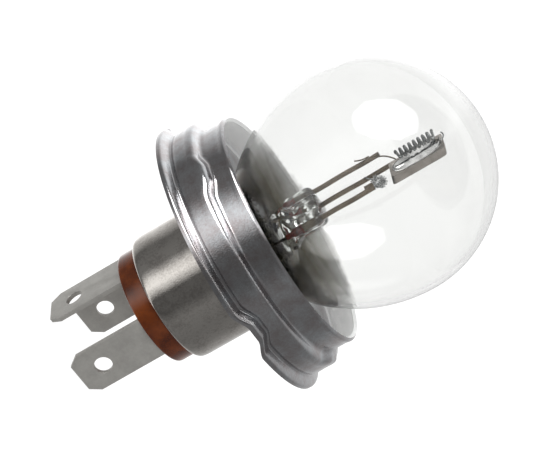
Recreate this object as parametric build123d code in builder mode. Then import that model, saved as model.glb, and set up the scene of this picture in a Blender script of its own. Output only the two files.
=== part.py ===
"""Twin-filament headlight bulb: round glass envelope, pressed steel collar and a three-blade base.

Sizes are in millimetres. +Z runs along the lamp axis from the base towards the globe. The origin is on
that axis at the middle of the lamp's length, just in front of the faces of the collar's three lugs.
The single blade is on the -X side and the pair of parallel blades is on the +Y and -Y sides.
"""

import os
from math import cos, radians, sin

from build123d import *

os.makedirs("parts", exist_ok=True)

# Glass envelope: a ball that narrows along a larger arc into a straight neck
globe_radius = 19.8
globe_centre_z = 18.4
pear_arc_radius = 26.5
neck_radius = 10.0
neck_arc_radius = 5.0
neck_end_z = -13.0
glass_wall = 0.8

# Stem: a flared tube on the neck's rim, with a three-lobed press that holds the wires
stem_flare_radius = 9.1
stem_waist_radius = 5.4
stem_top_radius = 5.0
stem_waist_z = -4.0
stem_top_z = 0.8
press_bottom_z = 3.0
press_shoulder_radius = 4.3
press_top_z = 8.8
press_core_radius = 2.6
press_lobe_radius = 1.35
press_hollow_radius = 0.8
press_top_chamfer = 0.4
exhaust_tube_radius = 1.4
exhaust_tube_wall = 0.5
exhaust_tube_end_z = -17.0

# Support wires: place across the axis and height of the free end
support_wire_radius = 0.42
support_wires = {
    "dipped": (-2.13, 2.77, 21.0),
    "common": (0.79, 3.03, 24.6),
    "main": (-0.65, -3.6, 18.5),
}
seal_radius = 0.48
seal_bottom_z = 2.2
seal_top_z = 5.4
lead_radius = 0.25
lead_gather = 0.62
lead_spread_z = -11.0

# Dipped-beam filament and its shield
filament_wire_radius = 0.3
dipped_coil_radius = 0.7
dipped_coil_x = -1.78
dipped_coil_start_z = 23.6
dipped_coil_turns = 7
dipped_coil_pitch = 0.97
tail_radius = 0.12
tail_gap = 0.03
shield_rim_x = -0.04
shield_depth = 1.65
shield_half_width = 2.4
shield_start_z = 21.4
shield_length = 9.8
shield_end_lean = 0.5
shield_sheet = 0.2
bowl_end_land = 0.5
bowl_narrowing = 0.7

# Main-beam filament: a short coil across the axis
main_coil_near = Vector(0.15, -1.76, 19.7)
main_coil_far = Vector(0.93, 1.04, 18.3)
main_coil_radius = 0.78
main_coil_wire_radius = 0.2
main_coil_turns = 7

# Cap shell, cement and insulator
shell_radius = 11.2
shell_sheet = 0.4
shell_top_z = -2.1
shell_bottom_z = -20.95
shell_corner = 1.6
shell_mouth_radius = 10.0
insulator_end_z = -24.3
insulator_inner_z = -18.2
insulator_edge = 0.5
cement_top_z = -4.5

# Blades
blade_width = 7.7
blade_sheet = 0.8
blade_tip_z = -38.2
blade_root_z = -16.6
blade_offset_single = 8.4
blade_offset_pair = 8.65
blade_chamfer_along = 1.8
blade_chamfer_across = 1.3
blade_hole_diameter = 3.0
blade_hole_from_tip = 4.6

# Collar: front ring, shoulder with lugs, middle ring and a flared back edge
collar_sheet = 0.6
front_ring_radius = 20.55
middle_ring_radius = 22.5
flare_radius = 24.0
front_rim_z = 3.0
front_rim_flare = 0.15
front_flare_start_z = 1.2
shoulder_z = -1.6
shoulder_rise = 0.7
waist_start_z = -5.4
waist_hollow = 0.3
waist_z = -6.0
flare_start_z = -6.7
collar_bend = 0.3
flare_edge_z = -7.35
lug_count = 3
lug_first_angle = 83.0
lug_flat_width = 4.6
lug_foot_width = 9.6
lug_inset = 0.15
lug_bevel = 0.5
lug_face_z = -0.8
notch_start_angle = 263.5
notch_span = 15.0
notch_depth = 1.3
index_angle = 153.0
index_width = 1.2
index_depth = 0.6
plate_top_z = -2.3
plate_sheet = 0.6
hub_end_z = -6.2
solder_count = 3
solder_radius = 0.9


def place_at(angle, radius, height=0.0):
    """Plane that faces away from the lamp axis, with its own y along +Z."""
    turn = radians(angle)
    outward = Vector(cos(turn), sin(turn), 0)
    sideways = Vector(-sin(turn), cos(turn), 0)
    return Plane(origin=outward * radius + Vector(0, 0, height), x_dir=sideways, z_dir=outward)


def save(part, name):
    part.label = name
    export_step(part, f"parts/{name}.step")


# --- glass ---


def envelope_outline(inset):
    """Half outline of the envelope from its tip to the end of the neck, moved inwards by inset."""
    pear_x = globe_radius - pear_arc_radius
    neck_arc_x = neck_radius + neck_arc_radius
    reach = pear_arc_radius + neck_arc_radius
    drop = (reach**2 - (neck_arc_x - pear_x) ** 2) ** 0.5
    neck_arc_z = globe_centre_z - drop
    tangent_share = (pear_arc_radius - inset) / reach
    tangent = (
        pear_x + (neck_arc_x - pear_x) * tangent_share,
        globe_centre_z - drop * tangent_share,
    )
    tip = (0, globe_centre_z + globe_radius - inset)
    equator = (globe_radius - inset, globe_centre_z)
    neck_start = (neck_radius - inset, neck_arc_z)
    neck_end = (neck_radius - inset, neck_end_z)
    RadiusArc(tip, equator, globe_radius - inset)
    RadiusArc(equator, tangent, pear_arc_radius - inset)
    RadiusArc(tangent, neck_start, -(neck_arc_radius + inset))
    Line(neck_start, neck_end)
    return tip, neck_end


with BuildPart() as glass_envelope:
    with BuildSketch(Plane.XZ):
        with BuildLine():
            outer_tip, outer_end = envelope_outline(0)
            inner_tip, inner_end = envelope_outline(glass_wall)
            Line(outer_tip, inner_tip)
            Line(outer_end, inner_end)
        make_face()
    revolve(axis=Axis.Z)
save(glass_envelope.part, "glass_envelope")

with BuildPart() as stem_tube:
    with BuildSketch(Plane.XZ):
        with BuildLine():
            foot = (stem_flare_radius, neck_end_z)
            waist = (stem_waist_radius, stem_waist_z)
            top = (stem_top_radius, stem_top_z)
            side = Spline(foot, waist, top, tangents=[(-0.5, 1), (-0.35, 1)])
            inner = Spline(
                (foot[0] - glass_wall, foot[1]),
                (waist[0] - glass_wall, waist[1]),
                (top[0] - glass_wall, top[1]),
                tangents=[(-0.5, 1), (-0.35, 1)],
            )
            Line(side @ 0, inner @ 0)
            Line(side @ 1, inner @ 1)
        make_face()
    revolve(axis=Axis.Z)
save(stem_tube.part, "stem_tube")

with BuildPart() as exhaust_tube:
    with BuildSketch(Plane.XY.offset(exhaust_tube_end_z)):
        Circle(exhaust_tube_radius)
        Circle(exhaust_tube_radius - exhaust_tube_wall, mode=Mode.SUBTRACT)
    extrude(amount=stem_top_z - exhaust_tube_end_z)
save(exhaust_tube.part, "exhaust_tube")

with BuildPart() as stem_press:
    with BuildSketch(Plane.XY.offset(stem_top_z)):
        Circle(stem_top_radius)
    with BuildSketch(Plane.XY.offset(press_bottom_z)):
        Circle(press_shoulder_radius)
    loft()
    with BuildSketch(Plane.XY.offset(press_bottom_z)):
        Circle(press_core_radius)
        for wire_x, wire_y, _ in support_wires.values():
            with Locations((wire_x, wire_y)):
                Circle(press_lobe_radius)
        offset(amount=press_hollow_radius)
        offset(amount=-press_hollow_radius)
    extrude(amount=press_top_z - press_bottom_z)
    chamfer(stem_press.faces().sort_by(Axis.Z)[-1].edges(), length=press_top_chamfer)
    for wire_x, wire_y, _ in support_wires.values():
        for hole_radius, bottom_z, top_z in (
            (lead_radius, stem_top_z, seal_bottom_z),
            (seal_radius, seal_bottom_z, seal_top_z),
            (support_wire_radius, seal_top_z, press_top_z),
        ):
            with BuildSketch(Plane.XY.offset(bottom_z)):
                with Locations((wire_x, wire_y)):
                    Circle(hole_radius)
            extrude(amount=top_z - bottom_z, mode=Mode.SUBTRACT)
save(stem_press.part, "stem_press")

# --- wires through the stem, one set for each blade ---

lead_ends = {
    "dipped": (-blade_offset_single + blade_sheet / 2 + lead_radius, 0),
    "common": (0, blade_offset_pair - blade_sheet / 2 - lead_radius),
    "main": (0, -blade_offset_pair + blade_sheet / 2 + lead_radius),
}

for wire_name, (wire_x, wire_y, wire_top) in support_wires.items():
    with BuildPart() as support_wire:
        with BuildSketch(Plane.XY.offset(seal_top_z)):
            with Locations((wire_x, wire_y)):
                Circle(support_wire_radius)
        extrude(amount=wire_top - seal_top_z)
        chamfer(support_wire.faces().sort_by(Axis.Z)[-1].edges(), length=0.08)
    save(support_wire.part, f"support_wire_{wire_name}")

    with BuildPart() as seal:
        with BuildSketch(Plane.XY.offset(seal_bottom_z)):
            with Locations((wire_x, wire_y)):
                Circle(seal_radius)
        extrude(amount=seal_top_z - seal_bottom_z)
    save(seal.part, f"seal_{wire_name}")

    end_x, end_y = lead_ends[wire_name]
    with BuildPart() as lead:
        with BuildLine():
            lead_path = FilletPolyline(
                (wire_x, wire_y, seal_bottom_z),
                (wire_x, wire_y, stem_top_z - 0.2),
                (wire_x * lead_gather, wire_y * lead_gather, -2.5),
                (wire_x * lead_gather, wire_y * lead_gather, lead_spread_z),
                (end_x, end_y, -15.0),
                (end_x, end_y, insulator_inner_z),
                radius=0.6,
            )
        with BuildSketch(lead_path ^ 0):
            Circle(lead_radius)
        sweep()
    save(lead.part, f"lead_{wire_name}")

# --- filaments ---


def coil(start, direction, coil_radius, wire_radius, pitch, turns):
    """Helical coil of round wire that starts at a point and runs along a direction."""
    with BuildPart() as wound:
        with BuildLine():
            path = Helix(pitch, pitch * turns, coil_radius, center=start, direction=direction)
        with BuildSketch(path ^ 0):
            Circle(wire_radius)
        sweep(is_frenet=True)
    return wound.part


dipped_filament = coil(
    Vector(dipped_coil_x, 0, dipped_coil_start_z),
    Vector(0, 0, 1),
    dipped_coil_radius,
    filament_wire_radius,
    dipped_coil_pitch,
    dipped_coil_turns,
)
save(dipped_filament, "dipped_filament")

main_axis = main_coil_far - main_coil_near
main_filament = coil(
    main_coil_near,
    main_axis.normalized(),
    main_coil_radius,
    main_coil_wire_radius,
    main_axis.length / main_coil_turns,
    main_coil_turns,
)
save(main_filament, "main_filament")


def bent_wire(points, radius, name):
    """Thin round wire through a few points."""
    with BuildPart() as wire:
        with BuildLine():
            route = Spline(*points)
        with BuildSketch(route ^ 0):
            Circle(radius)
        sweep()
    save(wire.part, name)


dipped_x, dipped_y, dipped_top = support_wires["dipped"]
main_x, main_y, main_top = support_wires["main"]
common_x, common_y, _ = support_wires["common"]
coil_edge_x = dipped_coil_x + dipped_coil_radius
dipped_coil_end_z = dipped_coil_start_z + dipped_coil_pitch * dipped_coil_turns
shield_end_z = shield_start_z + shield_length
wire_side = support_wire_radius + tail_radius + tail_gap

bent_wire(
    [
        (dipped_x, dipped_y - wire_side, dipped_top - 1.6),
        (dipped_x, dipped_y - wire_side - 0.06, dipped_top - 0.4),
        (dipped_x + 0.3, dipped_y - 1.3, dipped_top + 0.9),
        (coil_edge_x, 0.3, dipped_coil_start_z - 0.45),
    ],
    tail_radius,
    "dipped_filament_front_tail",
)
bent_wire(
    [
        (coil_edge_x, -0.5, dipped_coil_end_z + 0.55),
        (shield_rim_x - 0.2, -0.2, shield_end_z - 0.4),
        (shield_rim_x - 0.2, 0, shield_end_z - 0.1),
        (shield_rim_x - 1.3, 0.1, shield_end_z + 0.3),
    ],
    tail_radius,
    "dipped_filament_back_tail",
)
bent_wire(
    [
        (dipped_x - wire_side, dipped_y, dipped_top - 1.6),
        (dipped_x - wire_side, dipped_y, dipped_top - 2.4),
        (dipped_x - wire_side - 0.55, dipped_y, dipped_top - 4.0),
    ],
    tail_radius,
    "weld_tail_dipped",
)
bent_wire(
    [
        (common_x - wire_side, common_y - 0.3, 16.9),
        (common_x - wire_side + 0.1, common_y - 0.8, 17.2),
        (main_coil_far.X, main_coil_far.Y + main_coil_radius + 0.2, main_coil_far.Z - 0.4),
    ],
    tail_radius,
    "main_filament_far_tail",
)

with BuildPart() as main_filament_crimp:
    with BuildSketch(Plane.XY.offset(main_top - 1.6)):
        with Locations((main_x, main_y + support_wire_radius + 0.45)):
            RectangleRounded(0.9, 0.9, radius=0.25)
    extrude(amount=1.5)
    fillet(main_filament_crimp.faces().sort_by(Axis.Z)[-1].edges(), radius=0.2)
save(main_filament_crimp.part, "main_filament_crimp")

bent_wire(
    [
        (main_x, main_y + support_wire_radius + 0.45, main_top - 0.1),
        (main_x + 0.1, main_y + 1.0, main_top + 0.5),
        (main_coil_near.X - main_coil_radius, main_coil_near.Y - 0.3, main_coil_near.Z - 0.2),
    ],
    tail_radius,
    "main_filament_near_tail",
)

with BuildPart() as glare_shield:
    with BuildSketch(Plane.XZ.offset(-shield_half_width)):
        with BuildLine():
            Polyline(
                (shield_rim_x, shield_start_z),
                (shield_rim_x, shield_end_z),
                (shield_rim_x + shield_depth, shield_end_z - shield_end_lean),
                (shield_rim_x + shield_depth, shield_start_z - shield_end_lean),
                close=True,
            )
        make_face()
    extrude(amount=2 * shield_half_width)
    long_edges = glare_shield.edges().filter_by(Axis.Z).sort_by(Axis.X)[-2:]
    fillet(long_edges, radius=0.5)
    bowl_half_length = shield_length / 2 - bowl_end_land
    bowl_half_width = shield_half_width - shield_sheet
    bowl_floor_x = shield_rim_x + shield_depth - shield_sheet
    for bowl_x, narrowing in ((shield_rim_x, 0), (bowl_floor_x, bowl_narrowing)):
        bowl_centre = (bowl_x, 0, shield_start_z + shield_length / 2)
        with BuildSketch(Plane(origin=bowl_centre, x_dir=(0, 0, 1), z_dir=(1, 0, 0))):
            Ellipse(bowl_half_length - narrowing, bowl_half_width - narrowing)
    loft(mode=Mode.SUBTRACT)
save(glare_shield.part, "glare_shield")

# --- cap shell, cement and insulator ---

with BuildPart() as cap_shell:
    with BuildSketch(Plane.XZ):
        with BuildLine():
            FilletPolyline(
                (shell_radius, shell_top_z),
                (shell_radius, shell_bottom_z),
                (shell_mouth_radius, shell_bottom_z),
                radius=shell_corner * 0.7,
            )
            offset(amount=shell_sheet, side=Side.RIGHT)
        make_face()
    revolve(axis=Axis.Z)
save(cap_shell.part, "cap_shell")

with BuildPart() as base_cement:
    with BuildSketch(Plane.XY.offset(neck_end_z)):
        Circle(shell_radius - shell_sheet)
        Circle(neck_radius, mode=Mode.SUBTRACT)
    extrude(amount=cement_top_z - neck_end_z)
save(base_cement.part, "base_cement")

blade_places = {
    "single": (180, blade_offset_single),
    "far": (90, blade_offset_pair),
    "near": (270, blade_offset_pair),
}

with BuildPart() as insulator:
    with BuildSketch(Plane.XY.offset(insulator_end_z)):
        Circle(shell_mouth_radius)
    extrude(amount=shell_bottom_z + shell_sheet - insulator_end_z)
    fillet(insulator.edges().group_by(Axis.Z)[0], radius=insulator_edge)
    with BuildSketch(Plane.XY.offset(shell_bottom_z + shell_sheet)):
        Circle(shell_mouth_radius - 0.1)
    extrude(amount=insulator_inner_z - shell_bottom_z - shell_sheet)
    for blade_angle, blade_offset in blade_places.values():
        with BuildSketch(place_at(blade_angle, blade_offset - blade_sheet / 2, insulator_end_z)):
            Rectangle(blade_width, 2 * (insulator_inner_z - insulator_end_z))
        extrude(amount=blade_sheet, mode=Mode.SUBTRACT)
save(insulator.part, "insulator")

# --- blades ---

for blade_name, (blade_angle, blade_offset) in blade_places.items():
    with BuildPart() as blade:
        with BuildSketch(place_at(blade_angle, blade_offset - blade_sheet / 2)):
            half = blade_width / 2
            with BuildLine():
                Polyline(
                    (-half, blade_root_z),
                    (half, blade_root_z),
                    (half, blade_tip_z + blade_chamfer_along),
                    (half - blade_chamfer_across, blade_tip_z),
                    (-half + blade_chamfer_across, blade_tip_z),
                    (-half, blade_tip_z + blade_chamfer_along),
                    close=True,
                )
            make_face()
            with Locations((0, blade_tip_z + blade_hole_from_tip)):
                Circle(blade_hole_diameter / 2, mode=Mode.SUBTRACT)
        extrude(amount=blade_sheet)
    save(blade.part, f"blade_{blade_name}")

# --- collar ---

lug_angles = [lug_first_angle + 360 / lug_count * index for index in range(lug_count)]

with BuildPart() as lugs:
    for lug_angle in lug_angles:
        with BuildSketch(place_at(lug_angle, front_ring_radius - 1)):
            with BuildLine():
                Polyline(
                    (-lug_foot_width / 2, shoulder_z - 0.2),
                    (-lug_flat_width / 2, lug_face_z),
                    (lug_flat_width / 2, lug_face_z),
                    (lug_foot_width / 2, shoulder_z - 0.2),
                    close=True,
                )
            make_face()
        extrude(amount=middle_ring_radius - front_ring_radius + 2)
    with BuildSketch(Plane.XZ):
        with BuildLine():
            bevel_radius = front_ring_radius + front_rim_flare + lug_bevel / 2
            Polyline(
                (front_ring_radius - 0.3, shoulder_z - 1),
                (middle_ring_radius - lug_inset, shoulder_z - 1),
                (middle_ring_radius - lug_inset, lug_face_z),
                (bevel_radius, lug_face_z),
                (front_ring_radius, lug_face_z - lug_bevel),
                (front_ring_radius - 0.3, lug_face_z - lug_bevel),
                close=True,
            )
        make_face()
    revolve(axis=Axis.Z, mode=Mode.INTERSECT)


def collar_outline(inset, step):
    """Outline of the collar's sheet from rim to back edge, moved inwards, its back part moved forwards."""
    line = FilletPolyline(
        (front_ring_radius + front_rim_flare - inset, front_rim_z),
        (front_ring_radius - inset, front_flare_start_z),
        (front_ring_radius - inset, shoulder_z + shoulder_rise - inset),
        (middle_ring_radius - inset, shoulder_z - inset),
        (middle_ring_radius - inset, waist_start_z + step),
        (middle_ring_radius - waist_hollow - inset, waist_z + step - inset / 2),
        (flare_radius - inset, flare_start_z + step - inset / 2),
        (flare_radius - inset, flare_edge_z + step),
        radius=collar_bend,
    )
    return line @ 0, line @ 1


def collar_section(plane, step):
    """Section of the collar's sheet on a plane that holds the axis."""
    with BuildSketch(plane) as section:
        with BuildLine():
            outside_front, outside_back = collar_outline(0, step)
            inside_front, inside_back = collar_outline(collar_sheet, step)
            Line(outside_front, inside_front)
            Line(outside_back, inside_back)
        make_face()
    return section.sketch.faces()


notch_turn = radians(notch_start_angle)
notch_outward = (cos(notch_turn), sin(notch_turn), 0)
notch_sideways = (sin(notch_turn), -cos(notch_turn), 0)
notch_plane = Plane(origin=(0, 0, 0), x_dir=notch_outward, z_dir=notch_sideways)
whole_section = collar_section(Plane.XZ, 0)
notch_section = collar_section(notch_plane, notch_depth)
notch_top_z = waist_start_z + notch_depth + collar_bend

with BuildPart() as collar_ring:
    revolve(whole_section, axis=Axis.Z)
    with BuildSketch(Plane.XY.offset(flare_edge_z - 1)):
        with BuildLine():
            sector_arc = CenterArc((0, 0), 2 * flare_radius, notch_start_angle, notch_span)
            Line(sector_arc @ 0, (0, 0))
            Line((0, 0), sector_arc @ 1)
        make_face()
    extrude(amount=notch_top_z - flare_edge_z + 1, mode=Mode.SUBTRACT)
    revolve(notch_section, axis=Axis.Z, revolution_arc=notch_span)
    add(lugs.part)
    with BuildSketch(place_at(index_angle, middle_ring_radius - 3, flare_edge_z)):
        Rectangle(index_width, 2 * index_depth)
    extrude(amount=6, mode=Mode.SUBTRACT)
save(collar_ring.part, "collar_ring")

with BuildPart() as collar_plate:
    with BuildSketch(Plane.XY.offset(plate_top_z - plate_sheet)):
        Circle(middle_ring_radius - collar_sheet - 0.2)
        Circle(shell_radius, mode=Mode.SUBTRACT)
    extrude(amount=plate_sheet)
    with BuildSketch(Plane.XY.offset(hub_end_z)):
        Circle(shell_radius + plate_sheet)
        Circle(shell_radius, mode=Mode.SUBTRACT)
    extrude(amount=plate_top_z - hub_end_z)
save(collar_plate.part, "collar_plate")

for index in range(solder_count):
    solder_turn = radians(lug_first_angle + 60 + 360 / solder_count * index)
    solder_reach = shell_radius + plate_sheet / 2
    with BuildPart() as solder:
        with Locations((solder_reach * cos(solder_turn), solder_reach * sin(solder_turn), hub_end_z)):
            Sphere(solder_radius)
        with BuildSketch(Plane.XY.offset(hub_end_z - 2 * solder_radius)):
            Circle(shell_radius + 2 * solder_radius)
            Circle(shell_radius, mode=Mode.SUBTRACT)
        extrude(amount=2 * solder_radius, mode=Mode.INTERSECT)
    save(solder.part, f"solder_{index + 1}")
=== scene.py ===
"""Headlight bulb: the looks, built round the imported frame. +Z is the lamp axis, towards the globe."""

from math import acos, atan2, cos, degrees, pi, radians, sin, sqrt, tau

import bmesh
import bpy
from mathutils import Matrix, Vector, noise


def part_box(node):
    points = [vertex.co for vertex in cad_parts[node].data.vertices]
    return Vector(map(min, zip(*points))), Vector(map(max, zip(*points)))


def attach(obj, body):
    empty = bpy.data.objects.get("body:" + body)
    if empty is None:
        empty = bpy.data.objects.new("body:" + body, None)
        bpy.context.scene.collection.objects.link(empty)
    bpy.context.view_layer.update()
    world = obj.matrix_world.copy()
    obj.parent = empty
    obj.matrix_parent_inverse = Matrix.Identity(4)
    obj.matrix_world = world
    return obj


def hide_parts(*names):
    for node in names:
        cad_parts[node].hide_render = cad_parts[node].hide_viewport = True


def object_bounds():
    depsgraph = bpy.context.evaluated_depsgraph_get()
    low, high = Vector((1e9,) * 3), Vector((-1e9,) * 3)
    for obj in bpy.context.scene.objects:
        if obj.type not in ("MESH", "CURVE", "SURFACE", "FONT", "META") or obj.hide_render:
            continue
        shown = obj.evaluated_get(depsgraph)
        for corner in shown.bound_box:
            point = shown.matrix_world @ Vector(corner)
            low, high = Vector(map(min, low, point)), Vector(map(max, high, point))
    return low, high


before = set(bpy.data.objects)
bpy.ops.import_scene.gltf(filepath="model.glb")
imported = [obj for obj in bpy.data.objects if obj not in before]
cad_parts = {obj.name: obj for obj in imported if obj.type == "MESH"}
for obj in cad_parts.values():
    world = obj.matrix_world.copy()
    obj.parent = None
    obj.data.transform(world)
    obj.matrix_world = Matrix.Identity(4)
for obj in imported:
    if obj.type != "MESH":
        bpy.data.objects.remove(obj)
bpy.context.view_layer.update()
scene = bpy.context.scene
MM = 0.001


# --- places read from the frame, in millimetres ---


def low(node):
    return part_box(node)[0] / MM


def high(node):
    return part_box(node)[1] / MM


def middle(node):
    return (low(node) + high(node)) / 2


def half_width(node):
    size = high(node) - low(node)
    return max(size.x, size.y) / 2


globe_radius = half_width("glass_envelope")
globe_tip_z = high("glass_envelope").z
globe_centre_z = globe_tip_z - globe_radius
neck_end_z = low("glass_envelope").z
shell_radius = half_width("cap_shell")
shell_top_z = high("cap_shell").z
shell_bottom_z = low("cap_shell").z
insulator_radius = half_width("insulator")
insulator_end_z = low("insulator").z
flare_edge_z = low("collar_ring").z
front_rim_z = high("collar_ring").z
press_top_z = high("stem_press").z


# --- mesh helpers ---


def add_object(name, mesh, material, node=None):
    """Puts a finished mesh in the scene, riding on the lamp, in place of a CAD node if one is given."""
    piece = bpy.data.objects.new(name, mesh)
    scene.collection.objects.link(piece)
    for entry in material if isinstance(material, (list, tuple)) else [material]:
        mesh.materials.append(entry)
    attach(piece, "root")
    if node:
        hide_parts(node)
    return piece


def smooth(mesh, angle=35):
    mesh.shade_smooth()
    mesh.set_sharp_from_angle(angle=radians(angle))


def mesh_from(name, vertices, faces):
    """Closed mesh from points in millimetres, with its normals outward."""
    mesh = bpy.data.meshes.new(name)
    mesh.from_pydata([Vector(v) * MM for v in vertices], [], faces)
    work = bmesh.new()
    work.from_mesh(mesh)
    bmesh.ops.remove_doubles(work, verts=work.verts, dist=1e-8)
    bmesh.ops.recalc_face_normals(work, faces=work.faces)
    work.to_mesh(mesh)
    work.free()
    return mesh


def turned(name, outline_at, steps=240, angle=35):
    """Closed ring made by turning an outline about the lamp axis. outline_at gives it for each angle."""
    vertices = []
    count = len(outline_at(0.0))
    for step in range(steps):
        turn = tau * step / steps
        for radius, z in outline_at(turn):
            vertices.append((radius * cos(turn), radius * sin(turn), z))
    faces = []
    for step in range(steps):
        here = step * count
        there = ((step + 1) % steps) * count
        for index in range(count):
            after = (index + 1) % count
            faces.append((here + index, there + index, there + after, here + after))
    mesh = mesh_from(name, vertices, faces)
    smooth(mesh, angle)
    return mesh


def rounded(points, radius, steps=5):
    """Open outline with every inner corner replaced by a small arc-like curve."""
    result = [Vector(points[0])]
    for index in range(1, len(points) - 1):
        before, corner, after = (Vector(p) for p in points[index - 1 : index + 2])
        reach_in = min(radius, (corner - before).length * 0.45)
        reach_out = min(radius, (after - corner).length * 0.45)
        start = corner + (before - corner).normalized() * reach_in
        end = corner + (after - corner).normalized() * reach_out
        for step in range(steps + 1):
            t = step / steps
            result.append(start * (1 - t) ** 2 + corner * 2 * t * (1 - t) + end * t**2)
    result.append(Vector(points[-1]))
    return result


def sheet(points, thickness, radius, steps=5):
    """Closed outline of bent sheet metal whose one side follows the points; the other side is inwards."""
    line = rounded(points, radius, steps)
    inner = []
    for index, point in enumerate(line):
        before = line[max(index - 1, 0)]
        after = line[min(index + 1, len(line) - 1)]
        along = (after - before).normalized()
        inner.append(point + Vector((along.y, -along.x)) * thickness)
    return line + inner[::-1]


def tube(name, points, radius, sides=16):
    """Round wire through a list of points, with closed ends."""
    curve = bpy.data.curves.new(name, "CURVE")
    curve.dimensions = "3D"
    curve.bevel_depth = radius * MM
    curve.bevel_resolution = max(sides // 4 - 1, 1)
    curve.use_fill_caps = True
    spline = curve.splines.new("POLY")
    spline.points.add(len(points) - 1)
    for index, point in enumerate(points):
        place = Vector(point) * MM
        spline.points[index].co = (*place, 1)
    holder = bpy.data.objects.new(name, curve)
    scene.collection.objects.link(holder)
    bpy.context.view_layer.update()
    mesh = bpy.data.meshes.new_from_object(holder)
    bpy.data.objects.remove(holder)
    bpy.data.curves.remove(curve)
    smooth(mesh, 40)
    return mesh


def smooth_path(points, steps=12):
    """Points along a smooth curve through the given ones."""
    knots = [Vector(p) for p in points]
    knots = [knots[0] * 2 - knots[1]] + knots + [knots[-1] * 2 - knots[-2]]
    path = []
    for index in range(1, len(knots) - 2):
        a, b, c, d = knots[index - 1 : index + 3]
        for step in range(steps):
            t = step / steps
            path.append(
                0.5
                * (2 * b + (c - a) * t + (2 * a - 5 * b + 4 * c - d) * t**2 + (3 * b - a - 3 * c + d) * t**3)
            )
    path.append(knots[-2])
    return path


def blend_step(value, start, end):
    """0 before start, 1 after end, and a smooth rise between them."""
    t = min(max((value - start) / (end - start), 0.0), 1.0)
    return t * t * (3 - 2 * t)


# --- materials ---


class Nodes:
    """A new material with its Principled shader, and short ways to add nodes to it."""

    def __init__(self, name):
        self.material = bpy.data.materials.new(name)
        self.material.use_nodes = True
        self.tree = self.material.node_tree
        self.shader = self.tree.nodes["Principled BSDF"]

    def set(self, **values):
        for key, value in values.items():
            self.shader.inputs[key.replace("_", " ")].default_value = value

    def add(self, kind, inputs=None, **settings):
        node = self.tree.nodes.new(kind)
        for key, value in settings.items():
            setattr(node, key, value)
        for key, value in (inputs or {}).items():
            if isinstance(value, bpy.types.NodeSocket):
                self.tree.links.new(value, node.inputs[key])
            else:
                node.inputs[key].default_value = value
        return node

    def link(self, output, key):
        self.tree.links.new(output, self.shader.inputs[key])

    def place(self, scale=(1, 1, 1)):
        """Position on the object, in millimetres times scale."""
        coordinates = self.add("ShaderNodeTexCoord")
        sized = tuple(s / MM for s in scale)
        mapping = self.add("ShaderNodeMapping", {"Vector": coordinates.outputs["Object"], "Scale": sized})
        return mapping.outputs["Vector"]

    def noise(self, scale, detail=4, roughness=0.55, size=1.0):
        """Noise over the object; scale stretches it and size is its frequency per millimetre."""
        node = self.add(
            "ShaderNodeTexNoise",
            {
                "Vector": self.place(scale),
                "Scale": size,
                "Detail": detail,
                "Roughness": roughness,
            },
        )
        return node.outputs["Fac"]

    def ramp(self, source, stops):
        """Colour ramp; stops are (position, colour) pairs."""
        node = self.add("ShaderNodeValToRGB", {"Fac": source})
        ramp = node.color_ramp
        while len(ramp.elements) < len(stops):
            ramp.elements.new(0.5)
        for element, (position, colour) in zip(ramp.elements, stops):
            element.position = position
            element.color = (*colour, 1)
        return node.outputs["Color"]

    def spread(self, source, lowest, highest):
        """Source from 0 to 1 mapped to another range."""
        node = self.add(
            "ShaderNodeMapRange",
            {"Value": source, "From Min": 0.25, "From Max": 0.75, "To Min": lowest, "To Max": highest},
        )
        return node.outputs["Result"]

    def bump(self, source, strength, distance):
        node = self.add(
            "ShaderNodeBump", {"Height": source, "Strength": strength, "Distance": distance * MM}
        )
        self.link(node.outputs["Normal"], "Normal")


def metal(name, dark, light, rough, grain, bump=0.1, bump_size=8, metallic=1.0, glow=0.0, speck=0.0):
    """Plated or bare metal: soft patches and fine specks of colour, uneven gloss and a fine grain."""
    nodes = Nodes(name)
    nodes.set(Metallic=metallic, Emission_Strength=glow)
    patches = nodes.noise((1, 1, 1), detail=6, size=0.35)
    specks = nodes.noise((1, 1, 1), detail=2, roughness=0.7, size=2.6)
    tone = nodes.add("ShaderNodeMath", {0: specks, 1: speck, 2: patches}, operation="MULTIPLY_ADD")
    stops = [(0.3 + speck / 2, dark), (0.7 + speck / 2, light)]
    nodes.link(nodes.ramp(tone.outputs["Value"], stops), "Base Color")
    streaks = nodes.noise(grain, detail=5, size=1.0)
    nodes.link(nodes.spread(streaks, *rough), "Roughness")
    fine = nodes.noise((1, 1, 1), detail=3, size=bump_size)
    nodes.bump(fine, bump, 0.02)
    return nodes.material


def clear_glass(name, tint, ripple, ripple_size):
    """Clear glass with a faint haze and a rippled surface."""
    nodes = Nodes(name)
    nodes.set(Roughness=0.0, IOR=1.5, Transmission_Weight=1.0)
    haze = nodes.noise((1, 1, 1), detail=2, size=0.2)
    paler = tuple(1 - (1 - channel) * 0.4 for channel in tint)
    nodes.link(nodes.ramp(haze, [(0.3, tint), (0.7, paler)]), "Base Color")
    waves = nodes.noise((1, 1, 1), detail=1, size=ripple_size)
    nodes.bump(waves, ripple, 0.3)
    return nodes.material


def dull(name, dark, light, rough, size, bump, metallic=0.0, coat=0.0):
    """Matt or glossy solid with mottled colour."""
    nodes = Nodes(name)
    nodes.set(Metallic=metallic, Coat_Weight=coat)
    mottle = nodes.noise((1, 1, 1), detail=6, size=size)
    nodes.link(nodes.ramp(mottle, [(0.3, dark), (0.7, light)]), "Base Color")
    nodes.link(nodes.spread(mottle, *rough), "Roughness")
    grain = nodes.noise((1, 1, 1), detail=4, size=size * 6)
    nodes.bump(grain, bump, 0.05)
    return nodes.material


# Unevenness of the painted shade in the glass neck.
SHADE_UNEVENNESS = 0.3


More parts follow.
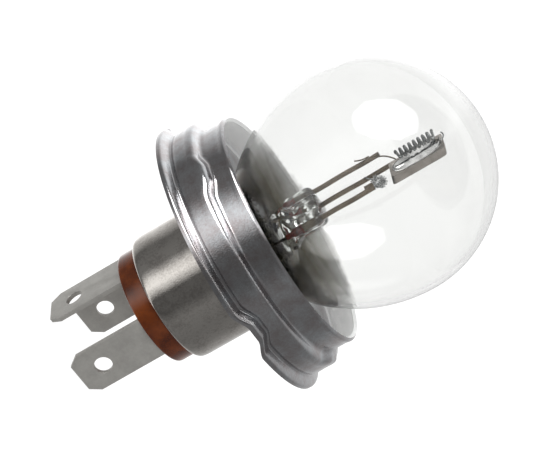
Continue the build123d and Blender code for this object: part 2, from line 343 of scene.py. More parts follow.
def shaded_neck_glass(name, clear, neck_shade, start_z, end_z):
    """Clear glass with an uneven brown painted shade that fades out along the lamp axis: the neck darkens
    towards the cap, standing in for the shade and dark cement seen in the glass there.
    """
    nodes = Nodes(name)
    nodes.set(Roughness=0.0, IOR=1.5, Transmission_Weight=1.0)
    coordinates = nodes.add("ShaderNodeTexCoord")
    split = nodes.add("ShaderNodeSeparateXYZ", {"Vector": coordinates.outputs["Object"]})
    rise = nodes.add(
        "ShaderNodeMapRange",
        {
            "Value": split.outputs["Z"],
            "From Min": start_z * MM,
            "From Max": end_z * MM,
            "To Min": -SHADE_UNEVENNESS / 2,
            "To Max": 1 - SHADE_UNEVENNESS / 2,
        },
    )
    clouds = nodes.noise((1.2, 1.2, 0.3), detail=3, size=0.35)
    uneven = nodes.add("ShaderNodeMath", {0: clouds, 1: SHADE_UNEVENNESS}, operation="MULTIPLY_ADD")
    nodes.tree.links.new(rise.outputs["Result"], uneven.inputs[2])
    # Stops run from the painted shade through a dimmer band to clear glass.
    half = tuple((c + 4 * d) / 5 for c, d in zip(clear, neck_shade))
    half_shaded = tuple(0.56 * channel for channel in clear)
    stops = [(0.33, neck_shade), (0.62, half), (0.85, half_shaded), (0.90, clear)]
    nodes.link(nodes.ramp(uneven.outputs["Value"], stops), "Base Color")
    return nodes.material


# The envelope's neck carries painted shade: olive brown towards the cap, for the shade and dark cement seen
# in it.
envelope_glass = shaded_neck_glass("EnvelopeGlass", (0.900, 0.903, 0.896), (0.06, 0.048, 0.010), -2.0, 5.5)
stem_glass = clear_glass("StemGlass", (0.88, 0.92, 0.89), ripple=0.45, ripple_size=0.6)
collar_metal = metal(
    "CollarPlating",
    dark=(0.44, 0.40, 0.40),
    light=(0.58, 0.60, 0.62),
    rough=(0.08, 0.19),
    grain=(0.5, 0.5, 2),
    bump=0.7,
    bump_size=4,
    speck=0.45,
)
# The collar's inside faces: pale colour and a faint glow, painted fill light that lightens the shade in the
# cavity.
collar_inside_painted_fill = metal(
    "CollarInsidePaintedFill",
    dark=(0.74, 0.75, 0.74),
    light=(0.84, 0.85, 0.84),
    rough=(0.30, 0.45),
    grain=(0.5, 0.5, 1),
    metallic=0.2,
    glow=0.22,
)
shell_metal = metal(
    "ShellPlating",
    dark=(0.47, 0.44, 0.41),
    light=(0.64, 0.61, 0.57),
    rough=(0.03, 0.10),
    grain=(0.8, 0.8, 0.25),
    bump=0.45,
    bump_size=4,
    speck=0.8,
)
blade_metal = metal(
    "BladeSteel",
    dark=(0.34, 0.33, 0.31),
    light=(0.42, 0.41, 0.385),
    rough=(0.4, 0.55),
    grain=(1.5, 1.5, 0.2),
    bump=0.2,
    metallic=0.5,
    speck=0.5,
)
wire_metal = metal(
    "WireNickel", (0.07, 0.055, 0.04), (0.19, 0.155, 0.115), (0.25, 0.45), (2, 2, 0.2), bump=0.3
)
tungsten = metal("Tungsten", (0.13, 0.14, 0.14), (0.36, 0.37, 0.37), (0.25, 0.45), (4, 4, 4))
fluffy_tungsten = metal(
    "LooseTungsten", (0.14, 0.15, 0.15), (0.66, 0.67, 0.67), (0.2, 0.4), (4, 4, 4), metallic=0.6
)
shield_metal = metal(
    "ShieldOutside", (0.20, 0.18, 0.16), (0.40, 0.37, 0.34), (0.28, 0.42), (1, 1, 0.3), bump=0.12
)
shield_polish = metal(
    "ShieldInside", (0.22, 0.22, 0.22), (0.80, 0.80, 0.79), (0.05, 0.12), (0.6, 1.5, 0.3), bump=0.02
)
copper_seal = dull("CopperSeal", (0.06, 0.008, 0.004), (0.27, 0.035, 0.018), (0.25, 0.45), 2.0, 0.1, 0.3)
amber = dull("AmberInsulator", (0.040, 0.006, 0.0005), (0.14, 0.028, 0.001), (0.08, 0.2), 0.3, 0.1, coat=0.3)
cement = dull("Cement", (0.035, 0.028, 0.008), (0.15, 0.12, 0.04), (0.6, 0.9), 1.5, 0.5)
solder_metal = metal("Solder", (0.50, 0.50, 0.50), (0.70, 0.70, 0.70), (0.25, 0.45), (1, 1, 1), bump=0.2)


# --- glass envelope ---


def arc(centre, radius, start, end, steps):
    """Points on a circle in the outline's plane; angles in degrees from +radius towards +Z."""
    points = []
    for step in range(steps + 1):
        turn = radians(start + (end - start) * step / steps)
        points.append((centre[0] + radius * cos(turn), centre[1] + radius * sin(turn)))
    return points


PEAR_ARC_RADIUS = 26.5
NECK_RADIUS = 10.0
NECK_ARC_RADIUS = 5.0
GLASS_WALL = 0.8


def envelope_side(inset):
    """Outline of the envelope from its tip to the neck's end, moved inwards by inset."""
    pear_x = globe_radius - PEAR_ARC_RADIUS
    neck_arc_x = NECK_RADIUS + NECK_ARC_RADIUS
    reach = PEAR_ARC_RADIUS + NECK_ARC_RADIUS
    lean = degrees(acos((neck_arc_x - pear_x) / reach))
    neck_arc_z = globe_centre_z - reach * sin(radians(lean))
    ball = arc((0, globe_centre_z), globe_radius - inset, 89.8, 0, 60)
    pear = arc((pear_x, globe_centre_z), PEAR_ARC_RADIUS - inset, 0, -lean, 40)[1:]
    neck = arc((neck_arc_x, neck_arc_z), NECK_ARC_RADIUS + inset, 180 - lean, 180, 12)[1:]
    return ball + pear + neck + [(NECK_RADIUS - inset, neck_end_z + inset)]


def capped_turn(name, side, steps=256, angle=40):
    """Closed solid from a side outline that runs from near the axis, out and round, and back to it."""
    vertices = []
    count = len(side)
    for step in range(steps):
        turn = tau * step / steps
        for radius, z in side:
            vertices.append((radius * cos(turn), radius * sin(turn), z))
    top = len(vertices)
    vertices.append((0, 0, side[0][1]))
    vertices.append((0, 0, side[-1][1]))
    faces = []
    for step in range(steps):
        here = step * count
        there = ((step + 1) % steps) * count
        for index in range(count - 1):
            faces.append((here + index, there + index, there + index + 1, here + index + 1))
        faces.append((top, there, here))
        faces.append((top + 1, here + count - 1, there + count - 1))
    mesh = mesh_from(name, vertices, faces)
    smooth(mesh, angle)
    return mesh


def build_envelope():
    """Globe, pear-shaped waist and neck in one wall of glass, with the neck's end rounded over."""
    outer = envelope_side(0)
    inner = envelope_side(GLASS_WALL)
    foot = [
        (NECK_RADIUS - GLASS_WALL * 0.2, neck_end_z + 0.05),
        (NECK_RADIUS - GLASS_WALL * 0.8, neck_end_z + 0.3),
    ]
    side = outer[:-1] + [(NECK_RADIUS, neck_end_z + 0.5)] + foot + [inner[-1]] + inner[:-1][::-1]
    mesh = capped_turn("globe", side)
    add_object("globe_glass", mesh, envelope_glass, "glass_envelope")


# --- stem: flared tube, exhaust tube and the three-lobed press ---

WIRE_NAMES = ("dipped", "common", "main")
wire_places = {name: middle(f"support_wire_{name}") for name in WIRE_NAMES}
wire_tops = {name: high(f"support_wire_{name}").z for name in WIRE_NAMES}
WIRE_RADIUS = 0.42
LOBE_RADIUS = 1.35


def build_stem_tube():
    """Flared tube of glass that stands in the neck and narrows up to the press."""
    foot_radius = half_width("stem_tube")
    foot_z = low("stem_tube").z
    top_z = high("stem_tube").z
    knots = [
        (foot_radius, foot_z, 0),
        (7.4, foot_z + 2.6, 0),
        (5.4, -5, 0),
        (4.4, -1.6, 0),
        (3.7, top_z, 0),
    ]
    outline = [(p.x, p.y) for p in smooth_path(knots, 10)]
    outline += [(radius - GLASS_WALL, z) for radius, z in reversed(outline)]
    mesh = turned("flare", lambda turn: outline, 96)
    add_object("stem_flare", mesh, stem_glass, "stem_tube")


def lobed_radius(turn, core):
    """Distance from the axis to the press's side, with a lobe round each wire."""
    reach = core
    for place in wire_places.values():
        distance = sqrt(place.x**2 + place.y**2)
        apart = turn - atan2(place.y, place.x)
        across = abs(distance * sin(apart))
        if cos(apart) > 0 and across < LOBE_RADIUS:
            reach = max(reach, distance * cos(apart) + sqrt(LOBE_RADIUS**2 - across**2))
    return reach


def build_press():
    """Pinched glass that grips the wires: three soft lobes on a short shoulder."""
    bottom_z = low("stem_press").z
    turns = 120
    levels = 40
    shoulder_radius = 3.5
    core_radius = 2.5
    crown_start = 0.86
    crown_drop = 0.28
    lobes = [lobed_radius(tau * step / turns, core_radius) for step in range(turns)]
    soft = [sum(lobes[(step + k) % turns] for k in range(-4, 5)) / 9 for step in range(turns)]
    vertices = []
    for level in range(levels + 1):
        share = level / levels
        z = bottom_z + (press_top_z - bottom_z) * share
        into_lobes = blend_step(share, 0.22, 0.45)
        into_crown = max((share - crown_start) / (1 - crown_start), 0)
        top_round = sqrt(max(1 - into_crown**2, 0.0)) * crown_drop + 1 - crown_drop
        for step in range(turns):
            turn = tau * step / turns
            radius = (shoulder_radius * (1 - into_lobes) + soft[step] * into_lobes) * top_round
            crinkle = 0.75 - 0.55 * blend_step(share, 0.25, 0.5)
            wobble = noise.noise(Vector((cos(turn) * 1.7, sin(turn) * 1.7, z * 0.7))) * crinkle
            radius += wobble * min(share * 4, 1) * min((1 - share) * 6, 1)
            vertices.append((radius * cos(turn), radius * sin(turn), z))
    vertices.append((0, 0, press_top_z))
    vertices.append((0, 0, bottom_z))
    faces = []
    for level in range(levels):
        for step in range(turns):
            after = (step + 1) % turns
            here = level * turns
            there = here + turns
            faces.append((here + step, here + after, there + after, there + step))
    top = levels * turns
    for step in range(turns):
        after = (step + 1) % turns
        faces.append((top + step, top + after, len(vertices) - 2))
        faces.append((after, step, len(vertices) - 1))
    mesh = mesh_from("press", vertices, faces)
    smooth(mesh, 50)
    add_object("stem_press_glass", mesh, stem_glass, "stem_press")


def build_exhaust_tube():
    top_z = high("exhaust_tube").z
    bottom_z = low("exhaust_tube").z
    radius = half_width("exhaust_tube")
    bore = radius - 0.5
    outline = [(radius, bottom_z), (radius, top_z), (bore, top_z), (bore, bottom_z)]
    mesh = turned("exhaust", lambda turn: outline, 48)
    add_object("exhaust_tube_glass", mesh, stem_glass, "exhaust_tube")


# --- wires ---


def build_wires():
    """Support wires, each a little bent along its length, and their seals in the press."""
    steps = 24
    sway_reach = 0.05
    for name in WIRE_NAMES:
        place = wire_places[name]
        top_z = wire_tops[name]
        bottom_z = low(f"support_wire_{name}").z
        points = []
        for step in range(steps + 1):
            z = bottom_z + (top_z - bottom_z) * step / steps
            sway = sway_reach * sin(step * 0.5 + place.x)
            points.append((place.x + sway, place.y + sway * 0.6, z))
        mesh = tube(f"wire_{name}", points, WIRE_RADIUS, 20)
        add_object(f"wire_{name}", mesh, wire_metal, f"support_wire_{name}")
        seal_low = low(f"seal_{name}")
        seal_high = high(f"seal_{name}")
        seal_path = [(place.x, place.y, seal_low.z), (place.x, place.y, seal_high.z)]
        mesh = tube(f"seal_piece_{name}", seal_path, half_width(f"seal_{name}"), 20)
        add_object(f"seal_piece_{name}", mesh, copper_seal, f"seal_{name}")


# --- filaments ---

LOOSENESS_SEED = 3


def coiled_coil(start, direction, radius, pitch, turns, fine_radius, fine_per_turn):
    """Points along a coil wound from wire that is itself a fine coil."""
    along = direction.normalized()
    across = along.cross(Vector((0, 0, 1)) if abs(along.z) < 0.9 else Vector((1, 0, 0))).normalized()
    third = along.cross(across)
    fine_steps = 9
    per_turn = fine_per_turn * fine_steps
    points = []
    for step in range(int(turns * per_turn) + 1):
        angle = tau * step / per_turn
        outward = across * cos(angle) + third * sin(angle)
        centre = start + outward * radius + along * (pitch * step / per_turn)
        fine_turn = tau * step / fine_steps
        beside = outward * (fine_radius * cos(fine_turn))
        ahead = along * (fine_radius * sin(fine_turn))
        points.append(centre + beside + ahead)
    return points


def build_filaments():
    """The dipped coil along the lamp axis, and the short loose main coil across it."""
    dipped_low = low("dipped_filament")
    dipped_high = high("dipped_filament")
    centre = middle("dipped_filament")
    turns = 8.2
    end_gap = 0.3
    wire_radius = 0.05
    start = Vector((centre.x, centre.y, dipped_low.z + end_gap))
    pitch = (dipped_high.z - dipped_low.z - 2 * end_gap) / turns
    path = coiled_coil(start, Vector((0, 0, 1)), 0.64, pitch, turns, fine_radius=0.2, fine_per_turn=32)
    mesh = tube("dipped_coil", path, wire_radius, 8)
    add_object("dipped_coil", mesh, tungsten, "dipped_filament")

    near = Vector((0.15, -1.76, 19.7))
    far = Vector((0.93, 1.04, 18.3))
    turns = 5
    looseness = 0.12
    wire_radius = 0.06
    axis = far - near
    pitch = axis.length / turns
    path = coiled_coil(near, axis, 0.74, pitch, turns, fine_radius=0.26, fine_per_turn=12)
    noise.seed_set(LOOSENESS_SEED)
    path = [p + noise.noise_vector(p * 3) * looseness for p in path]
    mesh = tube("main_coil", path, wire_radius, 8)
    add_object("main_coil", mesh, fluffy_tungsten, "main_filament")


def finish_cad_nodes():
    """CAD nodes whose plain shape is right keep it and get their material."""
    finishes = {
        "lead_dipped": wire_metal,
        "lead_common": wire_metal,
        "lead_main": wire_metal,
        "dipped_filament_front_tail": wire_metal,
        "dipped_filament_back_tail": tungsten,
        "weld_tail_dipped": wire_metal,
        "main_filament_far_tail": tungsten,
        "main_filament_near_tail": tungsten,
        "main_filament_crimp": wire_metal,
        "base_cement": cement,
    }
    for node, material in finishes.items():
        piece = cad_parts[node]
        piece.data.materials.clear()
        piece.data.materials.append(material)
        smooth(piece.data, 35)


# --- glare shield ---


def build_shield():
    """Boat of thin sheet: a straight-sided tray outside, with a polished round-ended bowl pressed in it."""
    near_corner = low("glare_shield")
    far_corner = high("glare_shield")
    rim_x = near_corner.x
    depth = far_corner.x - rim_x
    lean = 0.5
    half_length = (far_corner.z - near_corner.z - lean) / 2
    half_across = (far_corner.y - near_corner.y) / 2
    middle_z = far_corner.z - half_length
    turns = 96
    bowl_levels = 14
    bowl_squareness = 2.6
    tray_squareness = 14
    end_rim = 0.45
    side_rim = 0.2
    floor_sheet = 0.2

    def ring(x, length, across, power):
        """Points round the boat at one depth: an oval, the squarer the higher its power."""
        points = []
        for step in range(turns):
            turn = tau * step / turns
            reach = (abs(cos(turn) / length) ** power + abs(sin(turn) / across) ** power) ** (-1 / power)
            z = middle_z + reach * cos(turn) - lean * (x - rim_x) / depth
            points.append((x, reach * sin(turn), z))
        return points

    rings = []
    for level in range(1, bowl_levels + 1):
        share = level / bowl_levels
        x = rim_x + (depth - floor_sheet) * sqrt(max(1 - share**bowl_squareness, 0.0))
        length = (half_length - end_rim) * share
        across = (half_across - side_rim) * share
        rings.append(ring(x, length, across, bowl_squareness))
    bowl_rings = len(rings)
    rings.append(ring(rim_x, half_length, half_across, tray_squareness))
    rings.append(ring(rim_x + depth - 0.5, half_length, half_across, tray_squareness))
    rings.append(ring(rim_x + depth - 0.15, half_length, half_across - 0.15, tray_squareness))
    rings.append(ring(rim_x + depth, half_length, half_across - 0.5, tray_squareness))
    vertices = [point for points in rings for point in points]
    vertices.append((rim_x + depth - floor_sheet, 0, middle_z - lean))
    vertices.append((rim_x + depth, 0, middle_z - lean))
    faces = []
    for level in range(len(rings) - 1):
        for step in range(turns):
            after = (step + 1) % turns
            here = level * turns
            there = here + turns
            faces.append((here + step, here + after, there + after, there + step))
    last = (len(rings) - 1) * turns
    for step in range(turns):
        after = (step + 1) % turns
        faces.append((after, step, len(vertices) - 2))
        faces.append((last + step, last + after, len(vertices) - 1))
    mesh = mesh_from("shield", vertices, faces)
    bowl_faces = (bowl_rings - 1) * turns
    outside_x = (rim_x + depth - floor_sheet / 2) * MM
    for polygon in mesh.polygons:
        bowl_bottom = len(polygon.vertices) == 3 and polygon.center.x < outside_x
        polygon.material_index = int(polygon.index < bowl_faces or bowl_bottom)
    smooth(mesh, 50)
    add_object("shield_boat", mesh, [shield_metal, shield_polish], "glare_shield")


# --- cap shell and insulator ---


def build_shell():
    """Drawn can of thin plated sheet, rounded where it turns in to grip the insulator."""
    corner = 1.5
    mouth = insulator_radius + 0.1
    points = [
        (shell_radius - 0.05, shell_top_z),
        (shell_radius, shell_top_z - 0.4),
        (shell_radius, shell_bottom_z + corner),
        (shell_radius - 0.1, shell_bottom_z + 0.55),
        (shell_radius - 0.55, shell_bottom_z + 0.1),
        (mouth, shell_bottom_z),
    ]
    outline = sheet(points, 0.4, 0.5, 6)
    mesh = turned("shell", lambda turn: outline, 256)
    add_object("shell", mesh, shell_metal, "cap_shell")


def build_insulator():
    """Amber disc with a rounded outer edge, its front part inside the cap shell."""
    top_z = high("insulator").z
    side = [(0.1, top_z), (insulator_radius - 0.3, top_z), (insulator_radius - 0.1, shell_bottom_z + 0.3)]
    corner = [
        (insulator_radius - 0.1, shell_bottom_z + 0.3),
        (insulator_radius, shell_bottom_z - 0.2),
        (insulator_radius, insulator_end_z),
        (insulator_radius - 0.9, insulator_end_z),
        (0.1, insulator_end_z + 0.05),
    ]
    side += [(p.x, p.y) for p in rounded(corner, 0.55, 8)][1:]
    mesh = capped_turn("insulator_body", side, 200)
    add_object("insulator_body", mesh, amber, "insulator")


# --- blades ---

BLADE_EDGE = 0.07
BLADE_CHAMFER_ALONG = 1.8
BLADE_CHAMFER_ACROSS = 1.3
BLADE_HOLE_RADIUS = 1.5
BLADE_HOLE_FROM_TIP = 4.6
BLADE_HOLE_STEPS = 64


def build_blade(name, angle):
    """Flat blade with chamfered tip and a punched hole, with softly broken edges."""
    node = f"blade_{name}"
    turn = radians(angle)
    outward = Vector((cos(turn), sin(turn), 0))
    sideways = Vector((-sin(turn), cos(turn), 0))
    centre = middle(node)
    distance = centre.dot(outward)
    thickness = abs((high(node) - low(node)).dot(outward))
    half = (high(node) - low(node)).dot(Vector((abs(sideways.x), abs(sideways.y), 0))) / 2
    tip_z = low(node).z
    root_z = high(node).z
    curve = bpy.data.curves.new(node, "CURVE")
    curve.dimensions = "2D"
    curve.fill_mode = "BOTH"
    curve.extrude = (thickness / 2 - BLADE_EDGE) * MM
    curve.bevel_depth = BLADE_EDGE * MM
    curve.bevel_resolution = 2
    curve.offset = -BLADE_EDGE * MM
    tip_half = half - BLADE_CHAMFER_ACROSS
    chamfer_z = tip_z + BLADE_CHAMFER_ALONG
    corners = [(-half, root_z), (half, root_z), (half, chamfer_z), (tip_half, tip_z)]
    corners += [(-tip_half, tip_z), (-half, chamfer_z)]
    hole = []
    for step in range(BLADE_HOLE_STEPS):
        turn_in_hole = tau * step / BLADE_HOLE_STEPS
        across = BLADE_HOLE_RADIUS * cos(turn_in_hole)
        along = BLADE_HOLE_RADIUS * sin(turn_in_hole)
        hole.append((across, tip_z + BLADE_HOLE_FROM_TIP + along))
    for loop in (corners, hole):
        spline = curve.splines.new("POLY")
        spline.points.add(len(loop) - 1)
        for index, (x, y) in enumerate(loop):
            spline.points[index].co = (x * MM, y * MM, 0, 1)
        spline.use_cyclic_u = True
    holder = bpy.data.objects.new(node, curve)
    scene.collection.objects.link(holder)
    bpy.context.view_layer.update()
    mesh = bpy.data.meshes.new_from_object(holder)
    bpy.data.objects.remove(holder)
    basis = Matrix((sideways, Vector((0, 0, 1)), outward)).transposed().to_4x4()
    mesh.transform(Matrix.Translation(outward * distance * MM) @ basis)
    work = bmesh.new()
    work.from_mesh(mesh)
    bmesh.ops.remove_doubles(work, verts=work.verts, dist=1e-7)
    bmesh.ops.recalc_face_normals(work, faces=work.faces)
    work.to_mesh(mesh)
    work.free()
    smooth(mesh, 30)
    add_object(f"terminal_{name}", mesh, blade_metal, node)


# --- collar ---

FRONT_RADIUS = 20.55
MIDDLE_RADIUS = 22.5
FLARE_RADIUS = half_width("collar_ring")
SHOULDER_Z = -1.6
LUG_FACE_Z = -0.8
COLLAR_SHEET = 0.6
LUG_ANGLES = (83, 203, 323)
LUG_HALF_FLAT = 1.2
LUG_HALF_FOOT = 5.0
NOTCH_ANGLE = 271
NOTCH_HALF_WIDTH = 3.0
NOTCH_BLEND = 1.9
NOTCH_DEPTH = 1.3
INDEX_ANGLE = 153
INDEX_HALF_WIDTH = 0.6


def arc_offset(turn, angle, radius):
    """Distance along the rim from a direction, in millimetres."""
    apart = (degrees(turn) - angle + 180) % 360 - 180
    return abs(radians(apart) * radius)


def collar_outline(turn):
    """Sheet outline of the collar at one angle: raised at a lug, its back edge forwards at the notch."""
    lift = 0.0
    for angle in LUG_ANGLES:
        lift += 1 - blend_step(arc_offset(turn, angle, MIDDLE_RADIUS), LUG_HALF_FLAT, LUG_HALF_FOOT)
    shoulder = SHOULDER_Z + (LUG_FACE_Z - SHOULDER_Z) * lift
    beside_notch = arc_offset(turn, NOTCH_ANGLE, FLARE_RADIUS)
    notch_start = NOTCH_HALF_WIDTH - NOTCH_BLEND
    notch_end = NOTCH_HALF_WIDTH + NOTCH_BLEND
    step = NOTCH_DEPTH * (1 - blend_step(beside_notch, notch_start, notch_end))
    beside_index = arc_offset(turn, INDEX_ANGLE, FLARE_RADIUS)
    cut = 1 - blend_step(beside_index, INDEX_HALF_WIDTH - 0.25, INDEX_HALF_WIDTH)
    flare = FLARE_RADIUS - (FLARE_RADIUS - MIDDLE_RADIUS - 0.3) * cut
    points = [
        (FRONT_RADIUS - 0.28, front_rim_z),
        (FRONT_RADIUS + 0.15, front_rim_z - 0.42),
        (FRONT_RADIUS + 0.1, front_rim_z - 0.9),
        (FRONT_RADIUS, 1.6),
        (FRONT_RADIUS, shoulder + 0.75),
        (FRONT_RADIUS + 0.35, shoulder + 0.35),
        (MIDDLE_RADIUS - 0.85, shoulder + 0.05),
        (MIDDLE_RADIUS - 0.2, shoulder - 0.35),
        (MIDDLE_RADIUS, shoulder - 1.15),
        (MIDDLE_RADIUS - 0.06, -3.4),
        (MIDDLE_RADIUS, -5.1 + step * 0.8),
        (MIDDLE_RADIUS - 0.3, -5.85 + step),
        (flare - 0.6, -6.4 + step),
        (flare, -6.75 + step + 0.2 * cut),
        (flare, flare_edge_z + step + 0.5 * cut),
    ]
    return sheet(points, COLLAR_SHEET, 0.45, 4)


def build_collar():
    """The pressed collar, and the plate with a hub that joins it to the cap shell."""
    mesh = turned("collar", collar_outline, 900, 40)
    # Inward-facing faces take the inside material with its painted fill light.
    for polygon in mesh.polygons:
        sideways = Vector((polygon.center.x, polygon.center.y, 0)).normalized()
        polygon.material_index = int(polygon.normal.dot(sideways) < -0.1)
    add_object("collar", mesh, [collar_metal, collar_inside_painted_fill], "collar_ring")
    plate_top = high("collar_plate").z
    hub_end = low("collar_plate").z
    outer = half_width("collar_plate")
    inner = shell_radius + 0.01
    points = [
        (outer, plate_top - 0.9),
        (outer - 0.1, plate_top),
        (inner + 1.6, plate_top),
        (inner + 0.3, plate_top - 0.1),
        (inner, plate_top - 0.6),
        (inner, hub_end),
    ]
    outline = sheet(points, -0.6, 0.6, 5)
    mesh = turned("plate", lambda turn: outline, 180)
    add_object("plate", mesh, collar_metal, "collar_plate")


def build_solder():
    """Small domed beads of solder on the hub's edge, each a slightly uneven ball."""
    unevenness = 0.08
    shrink = 0.92
    for index in (1, 2, 3):
        node = f"solder_{index}"
        centre = middle(node)
        size = high(node) - low(node)
        work = bmesh.new()
        bmesh.ops.create_icosphere(work, subdivisions=3, radius=0.5)
        for vertex in work.verts:
            ripple = 1 + unevenness * noise.noise(vertex.co * 4 + Vector((index, 0, 0)))
            vertex.co = vertex.co * ripple * shrink
            vertex.co = Vector((vertex.co.x * size.x, vertex.co.y * size.y, vertex.co.z * size.z))
            vertex.co = (vertex.co + centre) * MM
        mesh = bpy.data.meshes.new(node)
        work.to_mesh(mesh)
        work.free()
        smooth(mesh, 60)
        add_object(f"solder_bead_{index}", mesh, solder_metal, node)


build_envelope()
build_stem_tube()
build_press()
build_exhaust_tube()
build_wires()
build_filaments()
build_shield()
finish_cad_nodes()
build_shell()
build_insulator()
for blade_name, blade_angle in (("single", 180), ("far", 90), ("near", 270)):
    build_blade(blade_name, blade_angle)
build_collar()
build_solder()


# --- floor, light and camera ---


def build_floor():
    """Wide pale floor just under the lamp, with a faint glow of its own."""
    size = 4.0
    gap = 0.0002
    mesh = bpy.data.meshes.new("floor")
    floor_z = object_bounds()[0].z - gap
    corners = [(-size, -size, floor_z), (size, -size, floor_z), (size, size, floor_z), (-size, size, floor_z)]
    mesh.from_pydata(corners, [], [(0, 1, 2, 3)])
    floor = bpy.data.objects.new("floor", mesh)
    scene.collection.objects.link(floor)
    nodes = Nodes("PaleFloor")
    nodes.set(Roughness=0.9, Emission_Strength=FLOOR_GLOW)
    tone = nodes.noise((0.01, 0.01, 0.01), detail=2, size=1.0)
    nodes.link(nodes.ramp(tone, [(0.3, (0.19, 0.19, 0.19)), (0.7, (0.21, 0.21, 0.21))]), "Base Color")
    nodes.link(nodes.ramp(tone, [(0.3, (0.99, 0.99, 0.99)), (0.7, (1, 1, 1))]), "Emission Color")
    mesh.materials.append(nodes.material)
    floor.visible_glossy = False


# The camera looks at the lamp from its globe end, TILT above the plane across the axis, with the axis
# rising by ROLL in the picture and the single blade's face turned TURN towards the camera.
TILT = radians(12.3)
ROLL = radians(30.0)
TURN = radians(27.0)
CAMERA_DISTANCE = 300.0
AIM = (2.73, -0.31)
LENS = 121.7

picture_axis = Vector((cos(TILT) * cos(ROLL), cos(TILT) * sin(ROLL), sin(TILT)))
picture_up = Vector((-sin(ROLL), cos(ROLL), 0))
picture_near = picture_axis.cross(picture_up)
single_side = picture_up * cos(TURN) + picture_near * sin(TURN)
near_side = picture_axis.cross(single_side)
camera_axes = Matrix((-single_side, -near_side, picture_axis))


def from_camera(x, y, z):
    """Point given in the camera's directions, in millimetres from the front rim's centre."""
    return (camera_axes @ Vector((x, y, z)) + Vector((0, 0, front_rim_z))) * MM


def build_camera():
    data = bpy.data.cameras.new("camera")
    data.lens = LENS
    data.sensor_width = 36
    data.clip_start = 0.01
    data.clip_end = 20
    camera = bpy.data.objects.new("camera", data)
    place = from_camera(-AIM[0], -AIM[1], CAMERA_DISTANCE)
    camera.matrix_world = Matrix.Translation(place) @ camera_axes.to_4x4()
    scene.collection.objects.link(camera)
    scene.camera = camera


def build_world():
    """Even white light for the floor, the glass and the matt parts."""
    world = bpy.data.worlds.new("studio")
    world.use_nodes = True
    scene.world = world
    background = world.node_tree.nodes["Background"]
    background.inputs["Color"].default_value = (1, 1, 1, 1)
    background.inputs["Strength"].default_value = WORLD_STRENGTH


def only_reflected(piece):
    """Shows only in mirrors and gloss: the camera, the shadows and the view through glass miss it."""
    piece.visible_camera = False
    piece.visible_diffuse = False
    piece.visible_transmission = False
    piece.visible_shadow = False
    piece.visible_volume_scatter = False


def build_tent():
    """Surroundings that the metal mirrors: a dim room, a tall lit panel and a bright wall behind the lamp."""
    work = bmesh.new()
    bmesh.ops.create_uvsphere(work, u_segments=96, v_segments=48, radius=TENT_RADIUS)
    mesh = bpy.data.meshes.new("tent")
    work.to_mesh(mesh)
    work.free()
    tent = bpy.data.objects.new("tent", mesh)
    tent.matrix_world = Matrix((lamp_up, lamp_near, Vector((0, 0, 1)))).transposed().to_4x4()
    scene.collection.objects.link(tent)
    nodes = Nodes("Tent")
    coordinates = nodes.add("ShaderNodeTexCoord")
    split = nodes.add("ShaderNodeSeparateXYZ", {"Vector": coordinates.outputs["Object"]})
    turn = nodes.add("ShaderNodeMath", operation="ARCTAN2")
    nodes.tree.links.new(split.outputs["X"], turn.inputs[0])
    nodes.tree.links.new(split.outputs["Y"], turn.inputs[1])
    share = nodes.add("ShaderNodeMapRange", {"Value": turn.outputs[0], "From Min": -pi, "From Max": pi})
    stops = [((angle + 180) / 360, (level / TENT_PEAK,) * 3) for angle, level in TENT_LEVELS]
    around = nodes.ramp(share.outputs["Result"], stops)
    glow = nodes.add("ShaderNodeEmission", {"Color": around, "Strength": TENT_PEAK})
    output = nodes.tree.nodes["Material Output"]
    nodes.tree.links.new(glow.outputs["Emission"], output.inputs["Surface"])
    mesh.materials.append(nodes.material)
    only_reflected(tent)


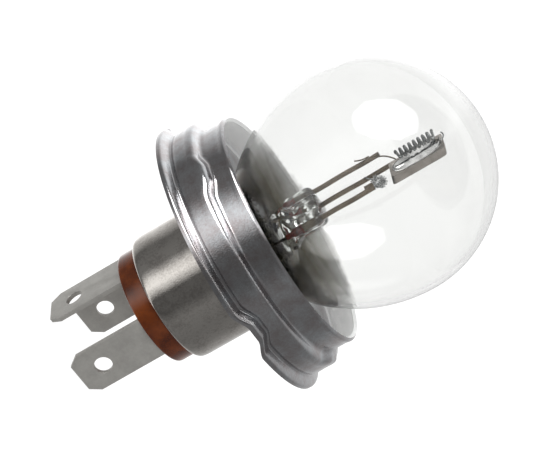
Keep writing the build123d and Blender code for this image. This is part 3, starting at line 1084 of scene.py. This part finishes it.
def build_panel(name, turn, rise, width, height, strength):
    """Lit panel inside the tent; turn and rise give its direction in degrees from the camera's side."""
    flat = cos(radians(rise))
    outward = (lamp_near * cos(radians(turn)) + lamp_up * sin(radians(turn))) * flat
    outward = outward + Vector((0, 0, sin(radians(rise))))
    distance = TENT_RADIUS * 0.9
    across = Vector((0, 0, 1)).cross(outward).normalized()
    upward = outward.cross(across)
    half_across = across * distance * sin(radians(width / 2))
    half_upward = upward * distance * sin(radians(height / 2))
    centre = outward * distance
    corners = []
    for step in range(PANEL_CORNERS):
        corner = tau * (step + 0.5) / PANEL_CORNERS
        corners.append(half_across * cos(corner) + half_upward * sin(corner))
    mesh = bpy.data.meshes.new(name)
    mesh.from_pydata(corners, [], [tuple(range(PANEL_CORNERS))])
    panel = bpy.data.objects.new(name, mesh)
    panel.location = centre
    scene.collection.objects.link(panel)
    nodes = Nodes(name)
    coordinates = nodes.add("ShaderNodeTexCoord")
    reach = nodes.add("ShaderNodeVectorMath", {0: coordinates.outputs["Object"]}, operation="LENGTH")
    longest = max(half_across.length, half_upward.length)
    glow = nodes.add(
        "ShaderNodeMapRange",
        {
            "Value": reach.outputs["Value"],
            "From Min": longest * 0.3,
            "From Max": longest,
            "To Min": strength,
            "To Max": strength * 0.35,
        },
    )
    light = nodes.add("ShaderNodeEmission", {"Strength": glow.outputs["Result"]})
    output = nodes.tree.nodes["Material Output"]
    nodes.tree.links.new(light.outputs["Emission"], output.inputs["Surface"])
    mesh.materials.append(nodes.material)
    only_reflected(panel)
    panel.visible_transmission = True


WORLD_STRENGTH = 1.05
FLOOR_GLOW = 0.92
TENT_RADIUS = 1.2
PANEL_CORNERS = 8
TENT_PEAK = 2.0
# Brightness of the surroundings by direction: degrees round the lamp axis from the camera's side, and level.
TENT_LEVELS = (
    (-179, 0.75),
    (-168, 0.66),
    (-150, 0.50),
    (-130, 0.36),
    (-112, 0.22),
    (-80, 0.18),
    (-40, 0.22),
    (-20, 0.12),
    (10, 0.13),
    (20, 0.75),
    (30, 1.30),
    (42, 1.10),
    (50, 0.60),
    (60, 0.22),
    (90, 0.17),
    (102, 0.16),
    (120, 0.48),
    (140, 0.85),
    (165, 1.60),
    (179, 0.75),
)
lamp_up = camera_axes @ picture_up
lamp_near = camera_axes @ picture_near

build_floor()
build_world()
build_camera()
build_tent()
build_panel("softbox", turn=57, rise=40, width=46, height=66, strength=7.0)
scene.view_settings.view_transform = "Standard"
